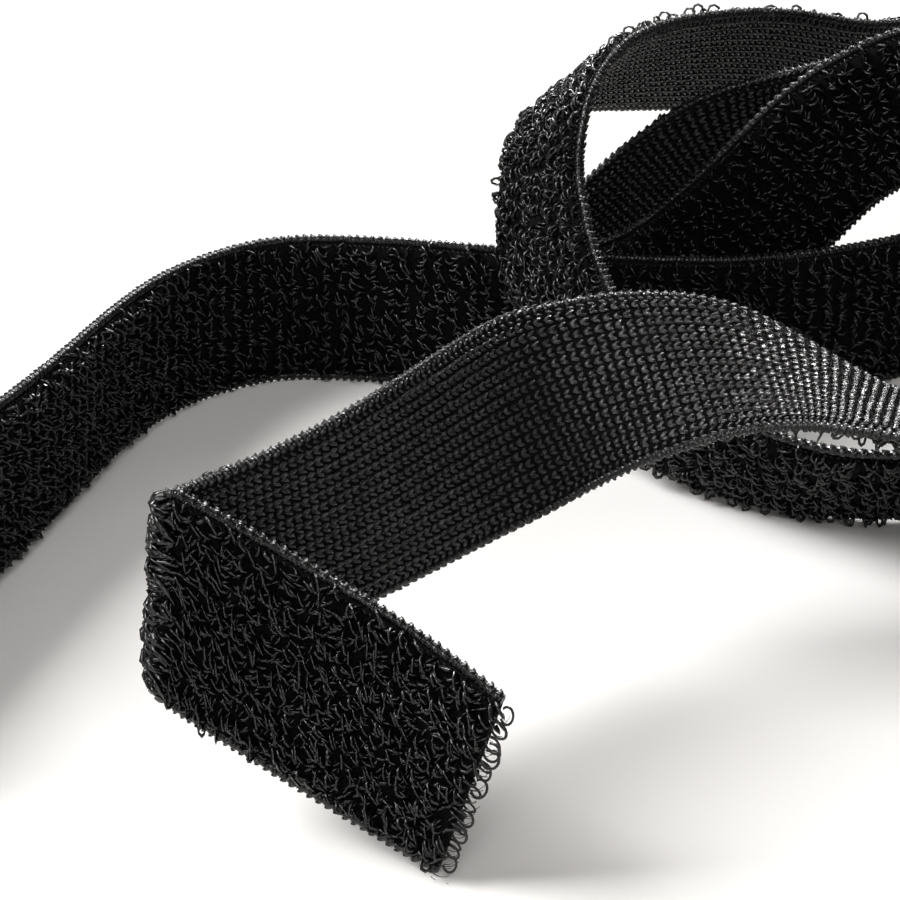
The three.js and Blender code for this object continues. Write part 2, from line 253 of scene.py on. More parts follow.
class TapeRoute:
    """The line that the tape follows, with the way across it and its loop side at every step.

    Attributes:
        middle: points on the tape's middle line.
        across: way across the tape there, stretched so that one unit of it is one of the tape's width.
        loop_side: unit normal on the side of the loops.
        lag: how far a row of stitches trails along the route for each unit across, where it runs skewed.
        span: the distance along the route at which each stretch starts and ends.
    """

    def __init__(self, stations: tuple, crease: tuple, folded_end: tuple) -> None:
        """Works out the long stretch, the turn of the fold and the folded end.

        Args:
            stations: lower and upper selvedge at each station, in millimetres and route coordinates.
            crease: the same at the crease.
            folded_end: the same from there to the cut end.
        """
        origin = np.array(ROUTE_ORIGIN)
        before, crease_line, after = (
            np.array(places, float) * MM - origin for places in (stations, crease, folded_end)
        )
        coming_in = crease_line.mean(axis=0) - before[-1].mean(axis=0)
        going_out = after[0].mean(axis=0) - crease_line.mean(axis=0)
        long_stretch = self._stretch([*before, self._clear_of(crease_line, coming_in)])
        flap = self._stretch([self._clear_of(crease_line, going_out), *after])
        flap = (*flap[:3], np.zeros(len(flap[3])))
        fold = self._fold(crease_line.mean(axis=0), long_stretch, flap)
        parts = [long_stretch, fold, flap]
        middle, across, loop_side, lag = (np.concatenate([part[k] for part in parts]) for k in range(4))
        first = middle[0] - unit(middle[1] - middle[0]) * SPARE_END
        last = middle[-1] + unit(middle[-1] - middle[-2]) * SPARE_END
        self.middle = np.vstack([first, middle, last])
        self.across, self.loop_side, self.lag = (
            np.concatenate([values[:1], values, values[-1:]]) for values in (across, loop_side, lag)
        )
        place = travelled(self.middle)
        fold_start = len(long_stretch[0])
        flap_start = fold_start + len(fold[0]) + 1
        self.span = {
            Stretch.LONG: (place[1], place[fold_start]),
            Stretch.FOLD: (place[fold_start], place[flap_start]),
            Stretch.FLAP: (place[flap_start], place[-2]),
        }
        self.fold_from = Vector(self.middle[fold_start])
        self.fold_to = Vector(self.middle[flap_start])

    def _clear_of(self, crease_line: np.ndarray, along: np.ndarray) -> np.ndarray:
        """The crease's line moved to the middle of a stretch that runs there, back to the crease."""
        return crease_line + unit(np.cross(unit(along), unit(crease_line[1] - crease_line[0]))) * BACK_DEPTH

    def _stretch(self, stations: list[np.ndarray]) -> tuple:
        """Steps of a stretch of tape near its stations.

        Args:
            stations: lower and upper selvedge at each.

        Returns:
            The middle, the way across, the loop side and the lag of each step.
        """
        lower, upper = (spline(np.array([place[side] for place in stations])) for side in (0, 1))
        middle = (lower + upper) / 2
        along = unit(np.vstack([middle[1] - middle[0], middle[2:] - middle[:-2], middle[-1] - middle[-2]]))
        ruling = unit(upper - lower)
        skew = (ruling * along).sum(axis=1)
        share = 1 / np.sqrt(1 - skew**2)
        gone = travelled(middle)
        lag = -skew * share * np.clip((gone[-1] - gone) / ROWS_TURN, 0, 1)
        return middle, ruling * share[:, None], unit(np.cross(along, ruling)), lag

    def _fold(self, hinge: np.ndarray, before: tuple, after: tuple) -> tuple:
        """Steps of the turn about the hinge's line, without its two ends."""
        start, end = unit(before[0][-1] - hinge), after[2][0]
        turn = math.acos(float(start @ end))
        share = np.linspace(0, 1, CREASE_STEPS + 1)[1:-1, None]
        normal = (np.sin(turn * (1 - share)) * start + np.sin(turn * share) * end) / math.sin(turn)
        across = before[1][-1] * (1 - share) + after[1][0] * share
        return hinge + normal * BACK_DEPTH, across, normal, np.zeros(CREASE_STEPS - 1)

    def as_mesh(self) -> bpy.types.Mesh:
        """The route as a line of edges, with its directions as attributes."""
        mesh = bpy.data.meshes.new("tape_route")
        count = len(self.middle)
        mesh.from_pydata(self.middle.tolist(), [(k, k + 1) for k in range(count - 1)], [])
        for name, values in (("across", self.across), ("loop_side", self.loop_side)):
            mesh.attributes.new(name, "FLOAT_VECTOR", "POINT").data.foreach_set("vector", values.ravel())
        mesh.attributes.new("lag", "FLOAT", "POINT").data.foreach_set("value", self.lag)
        return mesh


def add_node(tree: bpy.types.NodeTree, kind: str, inputs: dict | None = None, **settings: Any) -> Any:
    """Adds a node to a tree.

    Args:
        tree: the tree that gets it.
        kind: the node's type.
        inputs: what goes into its sockets, by name or number: a socket, a list of them, or a value.
        settings: values of its own properties.

    Returns:
        The node.
    """
    node = tree.nodes.new(kind)
    for name, value in settings.items():
        setattr(node, name, value)
    for key, value in (inputs or {}).items():
        usable = (s for s in node.inputs if s.name == key and s.enabled)
        socket = node.inputs[key] if isinstance(key, int) else next(usable)
        sources = value if isinstance(value, list) else [value]
        for source in sources:
            if isinstance(source, bpy.types.NodeSocket):
                tree.links.new(source, socket)
            else:
                socket.default_value = source
    return node


def made(node: bpy.types.Node) -> bpy.types.NodeSocket:
    """The first output of a node that is in use."""
    return next(s for s in node.outputs if s.enabled)


def even(value: float) -> Vector:
    """The same value along every axis."""
    return Vector((value,) * 3)


def chance(jitter: Vector, turn: Vector, slack: Vector, least: Vector, most: Vector) -> Sizes:
    """What chance does to each of the copies that stand on a grid.

    Args:
        jitter: how far a copy may be from its point.
        turn: how it is turned.
        slack: how far its turn may be from that.
        least: its least size, beside that of the shape.
        most: its most size.

    Returns:
        The tree's named sizes.
    """
    limits = {"Jitter": jitter, "Least size": least, "Most size": most}
    return {**limits, "Least turn": turn - slack, "Most turn": turn + slack}


def in_scene(name: str, data: Any) -> bpy.types.Object:
    """Makes an object in the scene."""
    thing = bpy.data.objects.new(name, data)
    bpy.context.scene.collection.objects.link(thing)
    return thing


class FlatTree:
    """A node tree that builds one kind of piece flat, then lays it along the route."""

    SOCKETS = {
        float: "NodeSocketFloat",
        int: "NodeSocketInt",
        Vector: "NodeSocketVector",
        bpy.types.Material: "NodeSocketMaterial",
    }

    def __init__(self, name: str, sizes: dict[str, type]) -> None:
        """Makes the tree's sockets.

        Args:
            name: what the tree builds.
            sizes: the type of each named input.
        """
        self.tree = bpy.data.node_groups.new(name, "GeometryNodeTree")
        face = self.tree.interface
        face.new_socket("Route", in_out="INPUT", socket_type="NodeSocketGeometry")
        for size, kind in {**sizes, "Material": bpy.types.Material}.items():
            face.new_socket(size, in_out="INPUT", socket_type=self.SOCKETS[kind])
        face.new_socket("Piece", in_out="OUTPUT", socket_type="NodeSocketGeometry")
        self.given = self.node("NodeGroupInput").outputs

    def node(self, kind: str, inputs: dict | None = None, **settings: Any) -> Any:
        """Adds a node to this tree, as add_node does."""
        return add_node(self.tree, kind, inputs, **settings)

    def out_of(self, kind: str, inputs: dict | None = None, **settings: Any) -> Any:
        """Adds a node to this tree and gives its first output."""
        return made(self.node(kind, inputs, **settings))

    def maths(self, operation: str, *terms: Any, kind: str = "ShaderNodeMath") -> Any:
        """Result of an operation on numbers, or on vectors with the kind of node for them."""
        return self.out_of(kind, dict(enumerate(terms)), operation=operation)

    def vector(self, **parts: Any) -> Any:
        """Vector of the given X, Y and Z, with zero for one that is left out."""
        return self.out_of("ShaderNodeCombineXYZ", parts)

    def place(self) -> Any:
        """The x, y and z of each point."""
        position = self.out_of("GeometryNodeInputPosition")
        return self.node("ShaderNodeSeparateXYZ", {"Vector": position}).outputs

    def with_place(self, geometry: Any, name: str) -> Any:
        """Keeps the place of each point under a name, for the materials."""
        kept = {"Geometry": geometry, "Name": name, "Value": self.out_of("GeometryNodeInputPosition")}
        vectors = {"data_type": "FLOAT_VECTOR", "domain": "POINT"}
        return self.out_of("GeometryNodeStoreNamedAttribute", kept, **vectors)

    def at_random(self, least: Any, most: Any) -> Any:
        """A vector between two others, drawn for each point from the piece's seed."""
        limits = {"Min": least, "Max": most, "Seed": self.given["Seed"]}
        return self.out_of("FunctionNodeRandomValue", limits, data_type="FLOAT_VECTOR")

    def tube(self, line: Any, sides: Any, radius: Any) -> Any:
        """A closed tube along a curve."""
        ring = self.out_of("GeometryNodeCurvePrimitiveCircle", {"Resolution": sides, "Radius": radius})
        swept = {"Curve": line, "Profile Curve": ring, "Fill Caps": True}
        return self.out_of("GeometryNodeCurveToMesh", swept)

    def centred(self, geometry: Any, middle: Any, height: Any) -> Any:
        """Moves what was made about the origin to the piece's part of the route, across and up."""
        along = self.maths("MULTIPLY_ADD", self.given["Length"], 0.5, self.given["Start"])
        place = self.vector(X=middle, Y=along, Z=height)
        return self.out_of("GeometryNodeTransform", {"Geometry": geometry, "Translation": place})

    def lay(self, flat: Any) -> None:
        """Keeps the flat places for the materials, lays the piece along the route and ends the tree."""
        curve = self.out_of("GeometryNodeMeshToCurve", {"Mesh": self.given["Route"]})
        solid = self.out_of("GeometryNodeRealizeInstances", {"Geometry": flat})
        known = self.with_place(solid, "flat")
        x, y, z = self.place()

        def on_route(name: str, data_type: str, distance: Any) -> Any:
            """Samples an attribute of the route at a distance along it."""
            value = self.out_of("GeometryNodeInputNamedAttribute", {"Name": name}, data_type=data_type)
            sampled = {"Curves": curve, "Value": value, "Length": distance}
            return self.node("GeometryNodeSampleCurve", sampled, mode="LENGTH", data_type=data_type)

        def added(way: Any, length: Any, start: Any) -> Any:
            """A length along a way, from a start."""
            return self.maths("MULTIPLY_ADD", way, length, start, kind="ShaderNodeVectorMath")

        distance = self.maths("MULTIPLY_ADD", x, made(on_route("lag", "FLOAT", y)), y)
        step = on_route("across", "FLOAT_VECTOR", distance)
        loop_side = made(on_route("loop_side", "FLOAT_VECTOR", distance))
        laid_place = added(loop_side, z, added(made(step), x, step.outputs["Position"]))
        laid = self.out_of("GeometryNodeSetPosition", {"Geometry": known, "Position": laid_place})
        smooth = self.out_of("GeometryNodeSetShadeSmooth", {"Geometry": laid, "Shade Smooth": True})
        dressed = {"Geometry": smooth, "Material": self.given["Material"]}
        self.node("NodeGroupOutput", {"Piece": self.out_of("GeometryNodeSetMaterial", dressed)})


def layer_tree() -> FlatTree:
    """Tree of a flat layer of cloth, whose loop side may rise in cross ridges."""
    sizes = {
        "Start": float, "Length": float, "Width": float, "Height": float, "Thickness": float,
        "Columns": int, "Steps": int, "Ridge pitch": float, "Ridge height": float,
    }
    tree = FlatTree("layer_of_cloth", sizes)
    given = tree.given
    slab_inputs = {
        "Size": tree.vector(X=given["Width"], Y=given["Length"], Z=given["Thickness"]),
        "Vertices X": given["Columns"],
        "Vertices Y": given["Steps"],
    }
    slab = tree.out_of("GeometryNodeMeshCube", slab_inputs)
    placed = tree.centred(slab, 0.0, given["Height"])
    _, y, z = tree.place()
    turn = tree.maths("MULTIPLY", tree.maths("DIVIDE", y, given["Ridge pitch"]), math.tau)
    on_top = tree.maths("GREATER_THAN", z, given["Height"])
    top_wave = tree.maths("MULTIPLY", tree.maths("COSINE", turn), on_top)
    offset = tree.vector(Z=tree.maths("MULTIPLY", top_wave, given["Ridge height"]))
    tree.lay(tree.out_of("GeometryNodeSetPosition", {"Geometry": placed, "Offset": offset}))
    return tree


# The named sizes of a grid of copies
GRID_SIZES = {
    "Start": float, "Length": float, "Rows": int, "Width": float, "Columns": int, "Middle": float,
    "Height": float, "Jitter": Vector, "Seed": int, "Least turn": Vector, "Most turn": Vector,
    "Least size": Vector, "Most size": Vector,
}

# Radius of the ball that a bead or a leg is stretched from, so that its sizes are whole lengths
BALL_RADIUS = 0.5


def lay_copies(tree: FlatTree, shape: Any) -> None:
    """Lays a grid of copies of the shape, each moved, turned and sized at random."""
    given = tree.given
    grid_inputs = {
        "Size X": given["Width"], "Size Y": given["Length"],
        "Vertices X": given["Columns"], "Vertices Y": given["Rows"],
    }
    grid = tree.out_of("GeometryNodeMeshGrid", grid_inputs)
    placed = tree.centred(grid, given["Middle"], given["Height"])
    least = tree.out_of("ShaderNodeVectorMath", {0: given["Jitter"], "Scale": -1.0}, operation="SCALE")
    moved = {"Geometry": placed, "Offset": tree.at_random(least, given["Jitter"])}
    copies = {
        "Points": tree.out_of("GeometryNodeSetPosition", moved),
        "Instance": shape,
        "Rotation": tree.at_random(given["Least turn"], given["Most turn"]),
        "Scale": tree.at_random(given["Least size"], given["Most size"]),
    }
    tree.lay(tree.out_of("GeometryNodeInstanceOnPoints", copies))


def stitch_tree() -> FlatTree:
    """Tree of knitted chain stitches: each is two plump legs that lean apart."""
    leg_sizes = {"Leg size": Vector, "Leg spread": float, "Leg lean": float, "Leg tip": float}
    tree = FlatTree("chain_stitches", {**GRID_SIZES, **leg_sizes})
    given = tree.given
    ball = tree.out_of("GeometryNodeMeshIcoSphere", {"Radius": BALL_RADIUS, "Subdivisions": 1})
    yarn = tree.with_place(ball, "own")
    legs = []
    for side in (1.0, -1.0):
        aside, lean = (tree.maths("MULTIPLY", given[name], side) for name in ("Leg spread", "Leg lean"))
        leg = {
            "Geometry": yarn,
            "Translation": tree.vector(X=aside),
            "Rotation": tree.vector(X=given["Leg tip"], Z=lean),
            "Scale": given["Leg size"],
        }
        legs.append(tree.out_of("GeometryNodeTransform", leg))
    lay_copies(tree, tree.out_of("GeometryNodeJoinGeometry", {"Geometry": legs}))
    return tree


def bead_tree() -> FlatTree:
    """Tree of the round beads that a wound edge shows."""
    bead_sizes = {"Bead size": Vector, "Bead sides": int, "Bead rings": int}
    tree = FlatTree("wound_beads", {**GRID_SIZES, **bead_sizes})
    given = tree.given
    ball_inputs = {"Segments": given["Bead sides"], "Rings": given["Bead rings"], "Radius": BALL_RADIUS}
    ball = tree.out_of("GeometryNodeMeshUVSphere", ball_inputs)
    lay_copies(tree, tree.out_of("GeometryNodeTransform", {"Geometry": ball, "Scale": given["Bead size"]}))
    return tree


def curl_tree() -> FlatTree:
    """Tree of curled filaments: each is an arc of thread standing on its foot."""
    curl_sizes = {
        "Filament": float, "Filament sides": int, "Curl radius": float, "Arc start": float,
        "Arc sweep": float, "Arc points": int, "Foot": float,
    }
    tree = FlatTree("curled_filaments", {**GRID_SIZES, **curl_sizes})
    given = tree.given
    arc_inputs = {
        "Resolution": given["Arc points"], "Radius": given["Curl radius"],
        "Start Angle": given["Arc start"], "Sweep Angle": given["Arc sweep"],
    }
    arc = tree.out_of("GeometryNodeCurveArc", arc_inputs, mode="RADIUS")
    upright = {
        "Geometry": tree.tube(arc, given["Filament sides"], given["Filament"]),
        "Translation": tree.vector(Z=given["Foot"]),
        "Rotation": (QUARTER_TURN, 0.0, QUARTER_TURN),
    }
    lay_copies(tree, tree.out_of("GeometryNodeTransform", upright))
    return tree


def cord_tree() -> FlatTree:
    """Tree of the round cord inside a selvedge."""
    sizes = {"Start": float, "Length": float, "Middle": float, "Radius": float, "Steps": int, "Sides": int}
    tree = FlatTree("selvedge_cord", sizes)
    given = tree.given
    ends = {"Start": given["Start"], "End": tree.maths("ADD", given["Start"], given["Length"])}
    line_inputs = {name: tree.vector(X=given["Middle"], Y=end) for name, end in ends.items()}
    line = tree.out_of("GeometryNodeCurvePrimitiveLine", line_inputs)
    stepped = tree.out_of("GeometryNodeResampleCurve", {"Curve": line, "Count": given["Steps"]})
    tree.lay(tree.tube(stepped, given["Sides"], given["Radius"]))
    return tree


def linear(colour: str) -> tuple[float, float, float, float]:
    """Linear colour of an sRGB hex value such as #1a2b3c."""
    shares = [int(colour[k : k + 2], 16) / 255 for k in (1, 3, 5)]
    curved = [s / 12.92 if s <= 0.04045 else ((s + 0.055) / 1.055) ** 2.4 for s in shares]
    return (*curved, 1.0)


@dataclass(frozen=True)
class NylonFinish:
    """A nylon thread or cloth, whose grain follows the tape.

    A yarn's filaments are 0.12 to 0.17 mm here, some five times coarser than real ones, so that they show.

    Attributes:
        name: the material's plain name.
        shaded_hollow: colour where the grain is low: painted shade in the hollows of its relief, beside the
            random tone of the patches.
        lit_crest: colour where the grain is high: a painted highlight on the crests of its relief, beside
            the random tone of the patches.
        roughness: least and most roughness.
        gloss: specular level, 0.5 for bare nylon and less where the threads shade each other.
        grain: size of the grain across, along and through the tape.
        relief: depth of the grain.
        filaments: how many filaments a stitch shows across, along and through its leg.
        nylon_ior: how strongly nylon bends light.
        patch: size of the broad patches of tone.
        patch_share: how much they count beside the grain.
        details: how many finer sizes of noise the grain and the patches have.
        tones: the part of the noise that runs from the colour of the hollows to that of the crests.
    """

    name: str
    shaded_hollow: str
    lit_crest: str
    roughness: tuple[float, float]
    gloss: float
    grain: Triple
    relief: float
    filaments: Triple = (0.0, 0.0, 0.0)
    nylon_ior: float = 1.53
    patch: float = 14 * MM
    patch_share: float = 0.35
    details: tuple[float, float] = (3.0, 1.0)
    tones: tuple[float, float] = (0.4, 0.8)

    def material(self) -> bpy.types.Material:
        """Makes the procedural material."""
        material = bpy.data.materials.new(self.name)
        material.use_nodes = True
        tree = material.node_tree
        tree.nodes.clear()

        def out_of(kind: str, inputs: dict, **settings: Any) -> Any:
            """Adds a node to the material and gives its first output."""
            return made(add_node(tree, kind, inputs, **settings))

        place, own = (
            add_node(tree, "ShaderNodeAttribute", attribute_name=name).outputs["Vector"]
            for name in ("flat", "own")
        )
        grain, patches = (
            out_of("ShaderNodeMapping", {"Vector": place, "Scale": tuple(1 / length for length in lengths)})
            for lengths in (self.grain, (self.patch,) * 3)
        )
        strands = {0: own, 1: self.filaments, 2: grain}
        combed = out_of("ShaderNodeVectorMath", strands, operation="MULTIPLY_ADD")
        fine, broad = (
            out_of("ShaderNodeTexNoise", {"Vector": where, "Scale": 1.0, "Detail": detail})
            for where, detail in zip((combed, patches), self.details)
        )
        # The noise that raises the bumps also sets the colour: painted shade in their hollows and a painted
        # highlight on their crests, with the random tone of the patches.
        both = {0: broad, 1: self.patch_share, 2: fine}
        tone = out_of("ShaderNodeMath", both, operation="MULTIPLY_ADD")
        shaded_hollow_tone, lit_crest_tone = self.tones
        span = {"Value": tone, "From Min": shaded_hollow_tone, "From Max": lit_crest_tone}
        share = out_of("ShaderNodeMapRange", span)
        colours = {"Factor": share, "A": linear(self.shaded_hollow), "B": linear(self.lit_crest)}
        least, most = self.roughness
        relief = {"Height": fine, "Distance": self.relief, "Strength": 1.0}
        looks = {
            "Base Color": out_of("ShaderNodeMix", colours, data_type="RGBA"),
            "Roughness": out_of("ShaderNodeMapRange", {**span, "To Min": most, "To Max": least}),
            "Normal": out_of("ShaderNodeBump", relief),
            "IOR": self.nylon_ior,
            "Specular IOR Level": self.gloss,
        }
        add_node(tree, "ShaderNodeOutputMaterial", {"Surface": out_of("ShaderNodeBsdfPrincipled", looks)})
        return material


# The finish of each of the record's slots, and of the nap, which is in the pile's slot
# Each finish's first colour lies where its grain is low, its second where it is high: where it has relief,
# that is painted shade in the hollows and a painted highlight on the crests.
FINISHES = {
    # Woven nylon ground: matt black, with a fine even thread grain.
    "web": NylonFinish(
        "woven_nylon_ground", "#050506", "#0c0d0f", (0.8, 0.95), 0.1, mm(0.35, 0.35, 0.35), 0.05 * MM
    ),
    # Napped nylon under the loops: painted shade, a black darker than the loops' own, for the shade
    # that they cast on it from every side.
    "nap": NylonFinish(
        "napped_nylon_ground", "#020202", "#070707", (0.8, 0.95), 0.05, mm(0.5, 0.5, 0.5), 0.1 * MM
    ),
    # Textured nylon thread: black and glossy, so that each loop carries a thin crisp highlight.
    "pile": NylonFinish(
        "looped_nylon_thread", "#030303", "#0b0b0b", (0.26, 0.4), 0.42, mm(0.9, 0.9, 0.9), 0.0
    ),
    # Braided nylon filament yarn: satin black, wound so hard round the edge that its filaments glint.
    "selvedge": NylonFinish(
        "braided_nylon_yarn", "#010101", "#070707", (0.26, 0.42), 0.45, mm(0.5, 0.9, 0.5), 0.15 * MM,
        (3.0, 0.8, 3.0),
    ),
    # Knitted nylon filament yarn: black, with the fine bright streaks of many parallel filaments, from
    # their bumps and gloss and from a painted highlight on their crests.
    "wale": NylonFinish(
        "knitted_nylon_yarn", "#010101", "#050505", (0.14, 0.28), 0.7, mm(0.9, 0.9, 0.9), 0.3 * MM,
        (4.0, 0.8, 4.0),
    ),
}


class Workshop:
    """Makes plain pieces from the node trees, and puts them on the bodies that carry them."""

    PREFIX = {Stretch.LONG: "", Stretch.FOLD: "fold_", Stretch.FLAP: "end_flap_"}
    STEP = {Stretch.LONG: 1 * MM, Stretch.FOLD: 0.25 * MM, Stretch.FLAP: 1 * MM}

    def __init__(self, route: TapeRoute) -> None:
        """Makes the materials and the node trees.

        Args:
            route: the line that every piece is laid along.
        """
        self.route = route
        self.line = route.as_mesh()
        self.looks = {name: finish.material() for name, finish in FINISHES.items()}
        self.trees = {
            "layer": layer_tree(), "curls": curl_tree(), "stitches": stitch_tree(),
            "cord": cord_tree(), "beads": bead_tree(),
        }
        self.seed = 0
        self.made_on = {stretch: [] for stretch in Stretch}

    def strip(self, stretch: Stretch) -> Sizes:
        """Sizes of a plain strip as long as a stretch, in steps short enough to follow it."""
        start, end = self.route.span[stretch]
        steps = round((end - start) / self.STEP[stretch])
        return {"Start": start, "Length": end - start, "Steps": steps + 1}

    def rows(self, start: float, end: float, pitch: float) -> Sizes:
        """Sizes of even rows that fill a length of the tape, as close to a pitch as they can."""
        count = max(round((end - start) / pitch), 1)
        step = (end - start) / count
        return {"Start": start + step / 2, "Length": end - start - step, "Rows": count}

    def nodes(self, stretch: Stretch, name: str) -> tuple[str, ...]:
        """The CAD node of that name on a stretch. The turn of the fold has none."""
        return () if stretch is Stretch.FOLD else (self.PREFIX[stretch] + name,)

    def make(
        self, name: str, stretch: Stretch, kind: str, sizes: Sizes, look: str,
        stands_for: tuple[str, ...] = (),
    ) -> bpy.types.Object:
        """Makes one piece.

        Args:
            name: the piece's name, without the stretch's prefix.
            stretch: the stretch that it is on.
            kind: the name of the tree that builds it.
            sizes: the tree's named inputs.
            look: the name of its finish.
            stands_for: CAD nodes that it replaces.

        Returns:
            The finished piece, a plain mesh.
        """
        tree = self.trees[kind].tree
        self.seed += 1
        piece = in_scene(self.PREFIX[stretch] + name, self.line.copy())
        builder = piece.modifiers.new("builder", "NODES")
        builder.node_group = tree
        given = {"Seed": self.seed, **sizes, "Material": self.looks[look]}
        for item in tree.interface.items_tree:
            if item.in_out == "INPUT" and item.name in given:
                builder[item.identifier] = given[item.name]
        piece.update_tag()
        seen = bpy.context.evaluated_depsgraph_get()
        mesh = bpy.data.meshes.new_from_object(piece.evaluated_get(seen), depsgraph=seen)
        piece.modifiers.clear()
        blank = piece.data
        piece.data = mesh
        bpy.data.meshes.remove(blank)
        if stretch is Stretch.FOLD:
            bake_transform(piece)
        else:
            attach(piece, stretch.value)
        if stands_for:
            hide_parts(*stands_for)
        self.made_on[stretch].append(piece)
        log.info("%s: %d faces", piece.name, len(mesh.polygons))
        return piece


@dataclass
class GroundWeave:
    """The woven ground of the tape, between its two selvedge cords."""

    width: float = 2 * SELVEDGE_PLACE
    thickness: float = WEB_THICKNESS
    columns: int = 10

    def build(self, shop: Workshop, stretch: Stretch) -> bpy.types.Object:
        """Makes the ground of one stretch, which is flat, so that any pitch of ridges serves."""
        sizes = {
            **shop.strip(stretch), "Width": self.width, "Height": 0.0, "Thickness": self.thickness,
            "Columns": self.columns, "Ridge pitch": 1.0, "Ridge height": 0.0,
        }
        nodes = shop.nodes(stretch, "ground_weave")
        return shop.make("ground_cloth", stretch, "layer", sizes, "web", nodes)


@dataclass
class LoopPile:
    """The napped loops, in cross rows on a dense base.

    The loops are some 0.3 mm thick and far fewer than real ones, so that the whole length can be drawn. The
    folded end is seen from near by, and has more of them.
    """

    row_pitch: float = 2.1 * MM
    fold_row_pitch: float = 0.5 * MM
    flap_row_pitch: float = 1.0 * MM
    loop_pitch: float = 0.4 * MM
    width: float = 17.2 * MM
    base_thickness: float = 0.5 * MM
    base_columns: int = 8
    steps_per_row: int = 5
    ridge_height: float = 0.08 * MM
    filament: float = 0.18 * MM
    filament_sides: int = 3
    curl_radius: float = 0.64 * MM
    gap_at_foot: float = math.radians(70)
    arc_points: int = 7
    foot_height: float = 0.35 * MM
    jitter: Triple = mm(0.25, 0.42, 0.2)
    flap_jitter: Triple = mm(0.25, 0.85, 0.25)
    turn: Triple = degrees(52, 36, 80)
    least_size: float = 0.8
    most_size: float = 1.22
    long_parts: int = 7

    def curl(self) -> Sizes:
        """Sizes of one loop."""
        half_gap = self.gap_at_foot / 2
        return {
            "Filament": self.filament, "Filament sides": self.filament_sides,
            "Curl radius": self.curl_radius, "Foot": self.curl_radius * math.cos(half_gap),
            "Arc start": half_gap - QUARTER_TURN, "Arc sweep": math.tau - self.gap_at_foot,
            "Arc points": self.arc_points,
        }

    def build(self, shop: Workshop, stretch: Stretch) -> None:
        """Makes the base and the loops of one stretch, the long one in several parts."""
        start, end = shop.route.span[stretch]
        rows = round((end - start) / self.row_pitch)
        base = {
            **shop.strip(stretch), "Width": self.width, "Thickness": self.base_thickness,
            "Height": WEB_FACE + self.base_thickness / 2, "Columns": self.base_columns,
            "Steps": max(rows, 2) * self.steps_per_row + 1,
            "Ridge pitch": self.row_pitch, "Ridge height": self.ridge_height,
        }
        # The base of the pile takes the nap's finish, painted darker for the shade that the loops cast on
        # it.
        shop.make("pile_base", stretch, "layer", base, "nap", shop.nodes(stretch, "loop_pile"))
        pitches = {Stretch.FOLD: self.fold_row_pitch, Stretch.FLAP: self.flap_row_pitch}
        jitter = Vector(self.flap_jitter if stretch is Stretch.FLAP else self.jitter)
        field = {
            **self.curl(), "Columns": round(self.width / self.loop_pitch) + 1, "Width": self.width,
            "Middle": 0.0, "Height": self.foot_height,
            **chance(jitter, Vector(), Vector(self.turn), even(self.least_size), even(self.most_size)),
        }
        parts = self.long_parts if stretch is Stretch.LONG else 1
        edges = np.linspace(start, end, parts + 1)
        for part in range(parts):
            field_rows = shop.rows(edges[part], edges[part + 1], pitches.get(stretch, self.row_pitch))
            name = f"loops_{part + 1}" if parts > 1 else "loops"
            shop.make(name, stretch, "curls", {**field_rows, **field}, "pile")


@dataclass
class ChainWales:
    """The knitted chains on the back, side by side, each of V stitches."""

    stitch_pitch: float = 1.0 * MM
    leg_size: Triple = mm(0.5, 1.18, 0.6)
    leg_spread: float = 0.2 * MM
    leg_lean: float = math.radians(28)
    leg_tip: float = math.radians(20)
    height: float = -0.52 * MM
    jitter: Triple = mm(0.03, 0.05, 0.03)
    turn: Triple = degrees(5, 8, 6)
    least_size: Triple = (0.92, 0.94, 0.92)
    most_size: Triple = (1.08, 1.06, 1.08)

    def build(self, shop: Workshop, stretch: Stretch) -> None:
        """Makes the chains of one stretch, those of the fold as one piece."""
        limits = (self.jitter, (0, 0, 0), self.turn, self.least_size, self.most_size)
        chain = {
            **shop.rows(*shop.route.span[stretch], self.stitch_pitch),
            "Height": self.height, **chance(*(Vector(limit) for limit in limits)),
            "Leg size": Vector(self.leg_size), "Leg spread": self.leg_spread, "Leg lean": self.leg_lean,
            "Leg tip": self.leg_tip,
        }
        if stretch is Stretch.FOLD:
            chains = {**chain, "Columns": WALE_COUNT, "Width": (WALE_COUNT - 1) * WALE_PITCH, "Middle": 0.0}
            shop.make("chain_stitches", stretch, "stitches", chains, "wale")
            return
        for number in range(1, WALE_COUNT + 1):
            middle = (number - 0.5) * WALE_PITCH - FIELD_EDGE
            sizes = {**chain, "Columns": 1, "Width": 0.0, "Middle": middle}
            node = f"chain_wale_{number:02d}"
            shop.make(f"{node}_stitches", stretch, "stitches", sizes, "wale", shop.nodes(stretch, node))


@dataclass(frozen=True)
class StitchColumn:
    """A column of stitches that binds a selvedge.

    Attributes:
        name: what it is.
        place: how far it is from the tape's middle.
        height: its height over the middle of the web.
        pitch: length of one stitch.
        leg: size of a leg, across, along and through.
        spread: how far each leg is from the column's line.
        lean: how far each leg leans.
        roll: how far the column is rolled outwards about the tape's length.
    """

    name: str
    place: float
    height: float
    pitch: float
    leg: Triple
    spread: float
    lean: float
    roll: float = 0.0


# Plaits beside the knitted chains, the V of each bead on the outer edge, and knots beside the loops
BINDINGS = (
    StitchColumn(
        "braid", 9.0 * MM, -0.45 * MM, 0.95 * MM,
        mm(0.5, 1.05, 0.5), 0.32 * MM, math.radians(36),
    ),
    StitchColumn(
        "chevrons", 9.77 * MM, 0.0, 0.95 * MM,
        mm(0.32, 0.8, 0.36), 0.25 * MM, math.radians(44), QUARTER_TURN,
    ),
    StitchColumn(
        "knots", 8.4 * MM, 0.5 * MM, 0.6 * MM,
        mm(0.22, 0.8, 0.22), 0.25 * MM, math.radians(42),
    ),
)


